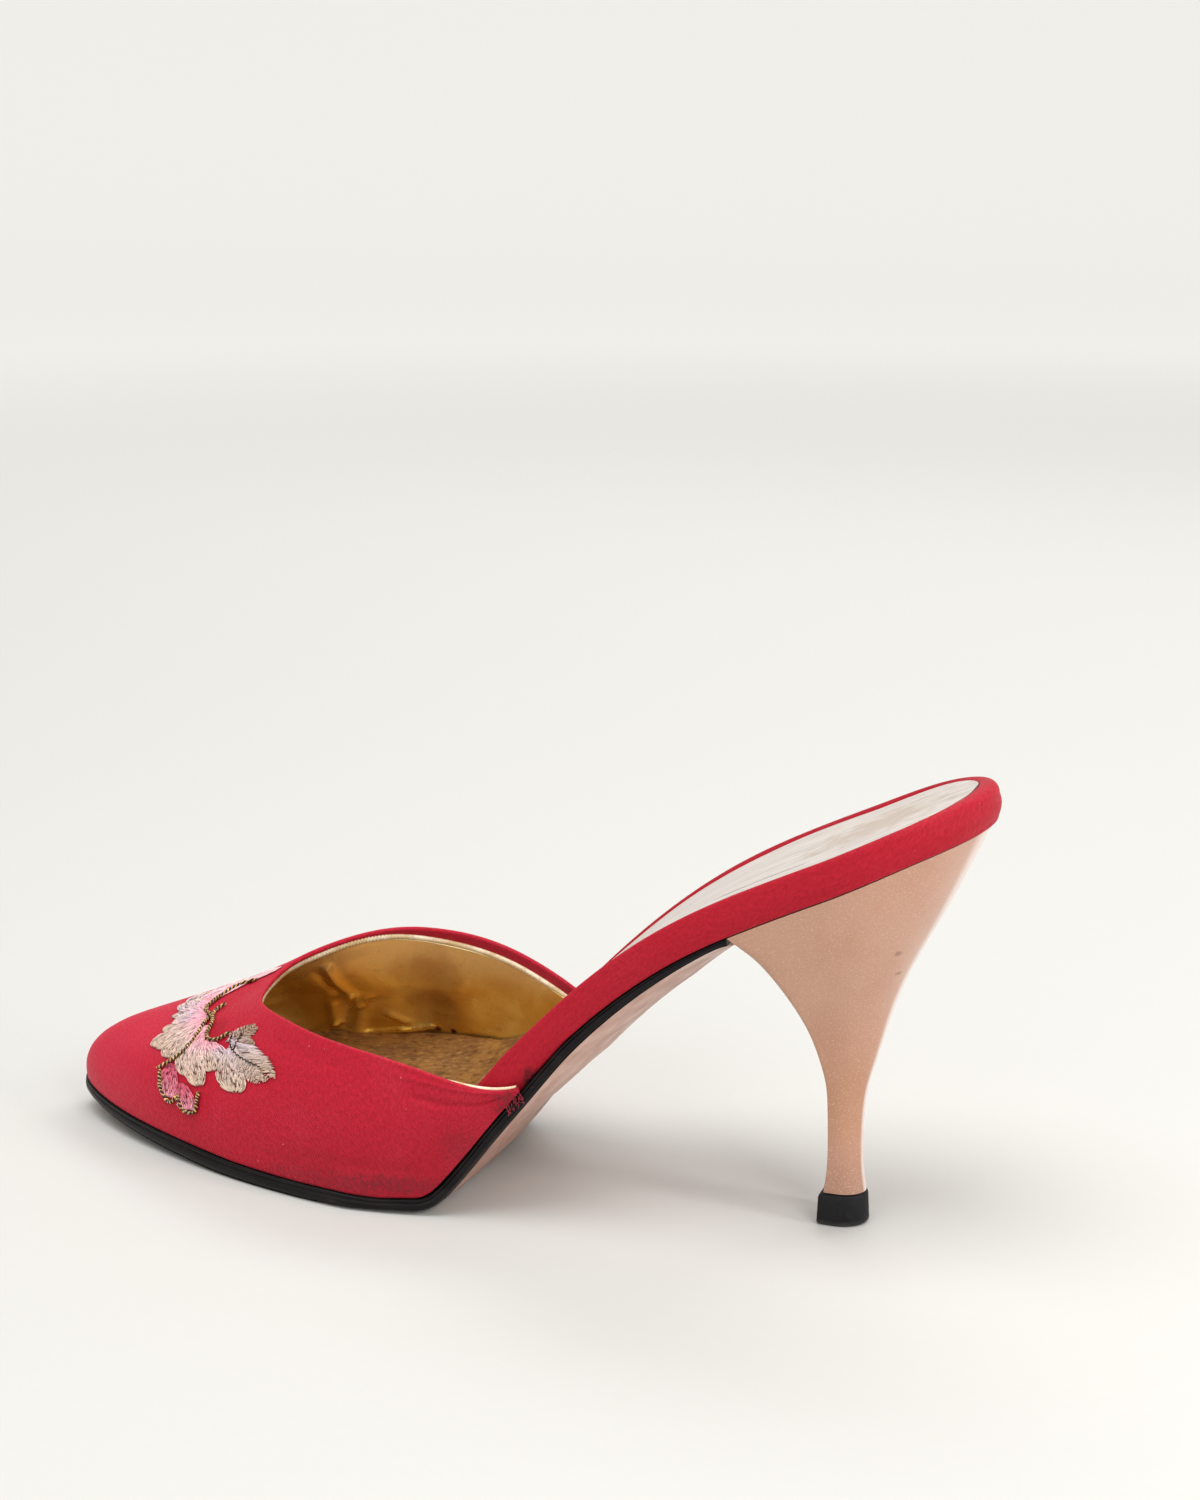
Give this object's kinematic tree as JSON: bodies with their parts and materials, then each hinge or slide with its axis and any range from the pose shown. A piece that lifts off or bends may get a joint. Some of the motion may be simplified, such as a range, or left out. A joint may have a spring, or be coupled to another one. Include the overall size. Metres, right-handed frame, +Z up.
{
  "type": "embroidered high-heeled mule",
  "caption": "Left shoe: a closed-toe, open-back satin mule with a raised embroidered flower on the vamp, a wrapped footbed, a thin outsole and a high tapered heel on a small top piece.",
  "frame": {"origin": "middle of the shoe's own box, on the floor that the tread and the top piece stand on", "axes": "+X to the toe, +Y to the wearer's left (the outer side of this left shoe), +Z up"},
  "size_m": [0.222, 0.0708, 0.0998],
  "materials": {
    "satin": "red satin, soft sheen, a little worn",
    "outsole": "leather with a black polished edge and a tan underside",
    "heel": "tan pearl lacquer, semi-gloss",
    "top_piece": "matt black",
    "sock": "pale gold leather, worn",
    "thread": "silky embroidery thread in cream, pink, rose and taupe with a dark gold cord"
  },
  "bodies": {
    "root": {"top_piece": "top_piece", "heel": "heel", "outsole": "outsole", "footbed": "satin", "sock": "sock", "upper": "satin", "embroidery": "thread"}
  },
  "joints": []
}
